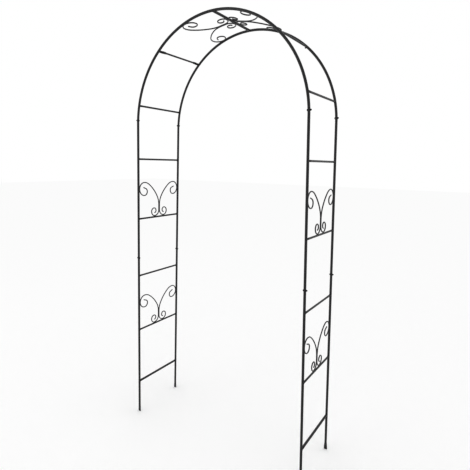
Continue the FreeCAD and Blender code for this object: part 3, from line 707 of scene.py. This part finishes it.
# --- Bolts and nuts -----------------------------------------------------------------
# Small domed bolts with a hexagon socket, headed and thread-rolled from steel and plated with
# black zinc. They pin every plugged joint and both ends of each crossbar, with a nut behind.

SHANK_RADIUS = 0.0025
HEAD_RADIUS = 0.005
HEAD_HEIGHT = 0.003
HEAD_BAND = 0.0006
SOCKET_WIDTH = 0.003
SOCKET_DEPTH = 0.0016
SOCKET_POINT = 0.0003
POINT_SHARE = 0.1
FLOOR_SHARE = 0.96
FLAT_RADIUS = 0.0021
NUT_WIDTH = 0.008
NUT_HEIGHT = 0.004
NUT_FACE = 0.00385
NUT_BEVEL = 0.0006
BEVEL_RINGS = 9
BORE_MOUTH = 0.0029
BORE_RADIUS = 0.00254
SEAT_GAP = 0.00003
THREAD_OUT = 0.0025
THREAD_PITCH = 0.0008
THREAD_DEPTH = 0.0004
THREAD_LENGTH = 0.008
THREAD_STEPS = 12
BOLT_RISE = 0.020
BOLT_SIDES = 48
DOME_RINGS = 12
NUT_SIDES = 72
THREAD_RUB = 0.4
spanner = np.random.default_rng(5)


def black_zinc(name, film, bare, pool, pit, depth):
    """Steel plated with zinc and dipped to a black chromate, as bought fasteners are.

    It is a thin metallic film: darker and glossier than the coat around it, uneven where the
    bath pooled, finely pitted, and rubbed towards grey on its corners.
    """
    material = bpy.data.materials.new(name)
    material.use_nodes = True
    tree = material.node_tree
    tree.nodes.clear()
    place = add(tree, "ShaderNodeTexCoord", {}).outputs["Object"]
    pools = add(tree, "ShaderNodeTexNoise",
                {"Vector": place, "Scale": 1 / pool, "Detail": 3, "Roughness": 0.6})
    worn = add(tree, "ShaderNodeAttribute", {}, attribute_name="worn")
    rubbed = add(tree, "ShaderNodeMath", {0: worn.outputs["Fac"], 1: pools.outputs["Fac"]},
                 operation="MULTIPLY")
    colour = add(tree, "ShaderNodeMixRGB",
                 {"Fac": rubbed.outputs["Value"], "Color1": linear(film),
                  "Color2": linear(bare)})
    sheen = add(tree, "ShaderNodeMapRange",
                {"Value": pools.outputs["Fac"], "From Min": 0.3, "From Max": 0.7,
                 "To Min": 0.28, "To Max": 0.44})
    pits = add(tree, "ShaderNodeTexNoise",
               {"Vector": place, "Scale": 1 / pit, "Detail": 2, "Roughness": 0.5})
    bump = add(tree, "ShaderNodeBump",
               {"Height": pits.outputs["Fac"], "Distance": depth, "Strength": 1.0})
    shader = add(tree, "ShaderNodeBsdfPrincipled",
                 {"Base Color": colour.outputs["Color"], "Roughness": sheen.outputs["Result"],
                  "Metallic": 1.0, "Normal": bump.outputs["Normal"]})
    add(tree, "ShaderNodeOutputMaterial", {"Surface": shader.outputs["BSDF"]})
    return material


BLACK_ZINC = black_zinc("black_zinc_plated_steel", "#323133", "#8c8b8d",
                        pool=0.0024, pit=0.0004, depth=0.00001)


def hexagon(width, sides):
    """Radius of a hexagon at each side's angle: w / 2 over the cosine of its angle from a flat."""
    turn = np.arange(sides) * 2 * np.pi / sides
    return width / 2 / np.cos((turn + np.pi / 6) % (np.pi / 3) - np.pi / 6)


def turned(seat, direction, height, radius, spin):
    """Rings about a bolt's axis, with one height per ring and a radius per vertex.

    Spin turns them about that axis, starting from the level direction from front to back.
    """
    turn = spin + np.arange(radius.shape[1]) * 2 * np.pi / radius.shape[1]
    ring = np.stack([radius * np.cos(turn), radius * np.sin(turn),
                     height[:, None] + 0 * radius], -1)
    level = np.array([0.0, 1.0, 0.0])
    line = [np.broadcast_to(part, (len(height), 3)) for part in (seat, level, direction)]
    return carry(line, ring)


def bolt_skin(seat, direction, grip):
    """Bolt from the bottom of its socket, out over the dome and down the shank to its end.

    Each ring of the head is its height, its radius and how far its plating is rubbed.
    The dome is a quarter of an ellipse. The thread's ridge climbs one pitch in a turn: radius
    R - d |2 f - 1|, where f is the fraction in height / pitch - angle / full turn.
    """
    round_ring = np.ones(BOLT_SIDES)
    socket = hexagon(SOCKET_WIDTH, BOLT_SIDES)
    floor_height = SOCKET_DEPTH - HEAD_HEIGHT
    dome = np.linspace(0, np.pi / 2, DOME_RINGS)
    rings = [(floor_height + SOCKET_POINT, POINT_SHARE * socket, 0.2),
             (floor_height, FLOOR_SHARE * socket, 0.2),
             (floor_height - RIM_EDGE / 3, socket, 0.2),
             (RIM_EDGE - HEAD_HEIGHT, socket, 0.6),
             (-HEAD_HEIGHT, (SOCKET_WIDTH / 2 + RIM_EDGE) * round_ring, 0.9)]
    rings += [(-HEAD_BAND - (HEAD_HEIGHT - HEAD_BAND) * math.cos(turn),
               (FLAT_RADIUS + (HEAD_RADIUS - FLAT_RADIUS) * math.sin(turn)) * round_ring, 0.1)
              for turn in dome]
    rings += [(-RIM_EDGE / 2, HEAD_RADIUS * round_ring, 0.4),
              (0.0, (HEAD_RADIUS - RIM_EDGE / 2) * round_ring, 0.4),
              (0.0, SHANK_RADIUS * round_ring, 0.0)]
    end = grip + NUT_HEIGHT + THREAD_OUT
    steps = int(THREAD_LENGTH / THREAD_PITCH * THREAD_STEPS)
    height = np.linspace(end - THREAD_LENGTH, end, steps)
    climb = height[:, None] / THREAD_PITCH - np.arange(BOLT_SIDES) / BOLT_SIDES
    depth = THREAD_DEPTH * np.abs(2 * (climb % 1) - 1)
    run_in = np.clip((height - height[0]) / THREAD_PITCH, 0, 1)[:, None]
    thread = np.minimum(SHANK_RADIUS - depth * run_in,
                        SHANK_RADIUS - THREAD_DEPTH + (end - height)[:, None])
    heights, radii, worn = zip(*rings)
    return skin(turned(seat, direction, np.concatenate([heights, height]),
                       np.vstack([radii, thread]), spanner.uniform(0, np.pi / 3)),
                np.concatenate([worn, np.full(len(height), THREAD_RUB)]))


def nut_skin(seat, direction):
    """Nut as a closed ring: up its faces, in over the top and back down its bore.

    A 30 degree cone cuts both ends of its flats, so its corners are rounded off: the radius
    is the lesser of the hexagon and face + gap / tan 30.
    """
    bevel = np.linspace(0, NUT_BEVEL, BEVEL_RINGS)
    height = np.concatenate([bevel, NUT_HEIGHT - bevel[::-1]])
    gap = np.minimum(height, NUT_HEIGHT - height)
    cone = (NUT_FACE + gap / math.tan(np.pi / 6))[:, None]
    outside = np.minimum(hexagon(NUT_WIDTH, NUT_SIDES), cone)
    mouth = BORE_MOUTH - BORE_RADIUS
    bore_height = np.array([NUT_HEIGHT, NUT_HEIGHT - mouth, mouth, 0])
    bore = np.array([[BORE_MOUTH], [BORE_RADIUS], [BORE_RADIUS], [BORE_MOUTH]])
    worn = np.concatenate([0.9 * (1 - gap / NUT_BEVEL) ** 2, np.full(len(bore), 0.2)])
    return skin(turned(seat, direction, np.concatenate([height, bore_height]),
                       np.vstack([outside, bore * np.ones(NUT_SIDES)]),
                       spanner.uniform(0, np.pi / 3)), worn, hollow=True)


post_bolts, post_nuts, bar_bolts, bar_nuts = [], [], [], []
for side in SIDES.values():
    for end in ENDS.values():
        for seam in (MID_SEAM, 0.0):
            point, out, _ = (part[0] for part in hoop_line(side, end, seam + BOLT_RISE))
            stand = (TUBE_RADIUS + SEAT_GAP) * out
            post_bolts.append(bolt_skin(point - stand, out, 2 * TUBE_RADIUS))
            post_nuts.append(nut_skin(point + stand, out))
        point, out, _ = (part[0] for part in hoop_line(side, 0, CROSSBAR))
        point = point + np.array([0, end * HOLE_Y, 0])
        stand = (PALM_THICKNESS + SEAT_GAP) * out
        bar_bolts.append(bolt_skin(point + stand, -out, 2 * PALM_THICKNESS))
        bar_nuts.append(nut_skin(point - stand, -out))
piece("domed_post_bolts", post_bolts, BLACK_ZINC, "fastener", "post_joint_bolts")
piece("hexagon_post_nuts", post_nuts, BLACK_ZINC, "fastener", "post_joint_nuts")
piece("domed_crossbar_bolts", bar_bolts, BLACK_ZINC, "fastener", "crossbar_bolts")
piece("hexagon_crossbar_nuts", bar_nuts, BLACK_ZINC, "fastener", "crossbar_nuts")


# --- Floor, light and camera --------------------------------------------------------
# A plain pale floor in an evenly lit white room. Two tall strip lights at its sides draw a
# soft streak down each tube, and a large square one hangs up in front on the left.
# The camera stands in front and to the right, at two thirds of the arch's height.

FLOOR_HALF = 30.0
floor_mesh = bpy.data.meshes.new("floor")
corners = [(-1, -1), (1, -1), (1, 1), (-1, 1)]
floor_mesh.from_pydata([(FLOOR_HALF * x, FLOOR_HALF * y, 0) for x, y in corners],
                       [], [(0, 1, 2, 3)])
floor_paint = bpy.data.materials.new("matt_white_floor_paint")
floor_paint.use_nodes = True
floor_shader = floor_paint.node_tree.nodes["Principled BSDF"]
floor_shader.inputs["Base Color"].default_value = linear("#fcfcfc")
floor_shader.inputs["Roughness"].default_value = 1.0
floor_shader.inputs["Specular IOR Level"].default_value = 0.0
floor_mesh.materials.append(floor_paint)
floor = bpy.data.objects.new("floor", floor_mesh)
bpy.context.scene.collection.objects.link(floor)

room = bpy.data.worlds.new("white_room")
room.use_nodes = True
backdrop = room.node_tree.nodes["Background"]
backdrop.inputs["Color"].default_value = linear("#ffffff")
backdrop.inputs["Strength"].default_value = 1.0
bpy.context.scene.world = room

# Each light is its name, place, width, height and power, and points at the arch's middle. The
# strips show in reflections only.
LIGHTS = (("overhead_softbox", (-1.5, -3.5, 4.5), 2.5, 2.5, 6),
          ("left_strip_softbox", (-2.3, -2.1, 1.5), 0.3, 2.6, 20),
          ("right_strip_softbox", (2.7, 1.5, 1.5), 0.3, 2.6, 16))
aim = Vector((0, 0, CAD_BOX[1][2] / 2))
for name, lamp_place, width, height, power in LIGHTS:
    light = bpy.data.lights.new(name, "AREA")
    light.shape = "RECTANGLE"
    light.size = width
    light.size_y = height
    light.energy = power
    lamp = bpy.data.objects.new(name, light)
    back = Vector(lamp_place) - aim
    lamp.matrix_world = (Matrix.Translation(lamp_place)
                         @ back.to_track_quat("Z", "Y").to_matrix().to_4x4())
    lamp.visible_camera = False
    lamp.visible_diffuse = name == "overhead_softbox"
    bpy.context.scene.collection.objects.link(lamp)

CAMERA_PLACE = Vector((1.2911, -1.9171, 1.6457))
CAMERA_HEADING = -33.133
CAMERA_DIP = 9.910
CAMERA_ROLL = -0.985
SENSOR_WIDTH = 36
FOCAL_LENGTH = 31.002
heading, dip, roll = (math.radians(turn) for turn in (CAMERA_HEADING, CAMERA_DIP, CAMERA_ROLL))
gaze = Vector((math.sin(heading) * math.cos(dip), math.cos(heading) * math.cos(dip),
               -math.sin(dip)))
level_right = Vector((math.cos(heading), -math.sin(heading), 0))
level_down = gaze.cross(level_right)
right = level_right * math.cos(roll) + level_down * math.sin(roll)
down = level_down * math.cos(roll) - level_right * math.sin(roll)
lens = bpy.data.cameras.new("camera")
lens.sensor_width = SENSOR_WIDTH
lens.lens = FOCAL_LENGTH
camera = bpy.data.objects.new("camera", lens)
camera.matrix_world = (Matrix.Translation(CAMERA_PLACE)
                       @ Matrix((right, -down, -gaze)).transposed().to_4x4())
bpy.context.scene.collection.objects.link(camera)
bpy.context.scene.camera = camera

# A gamma under 1 darkens the mid tones of every view, so that thin dark bars don't fade against
# the white room. The coats look lighter wherever it isn't set.
VIEW_GAMMA = 0.74
bpy.context.scene.view_settings.view_transform = "Standard"
bpy.context.scene.view_settings.gamma = VIEW_GAMMA
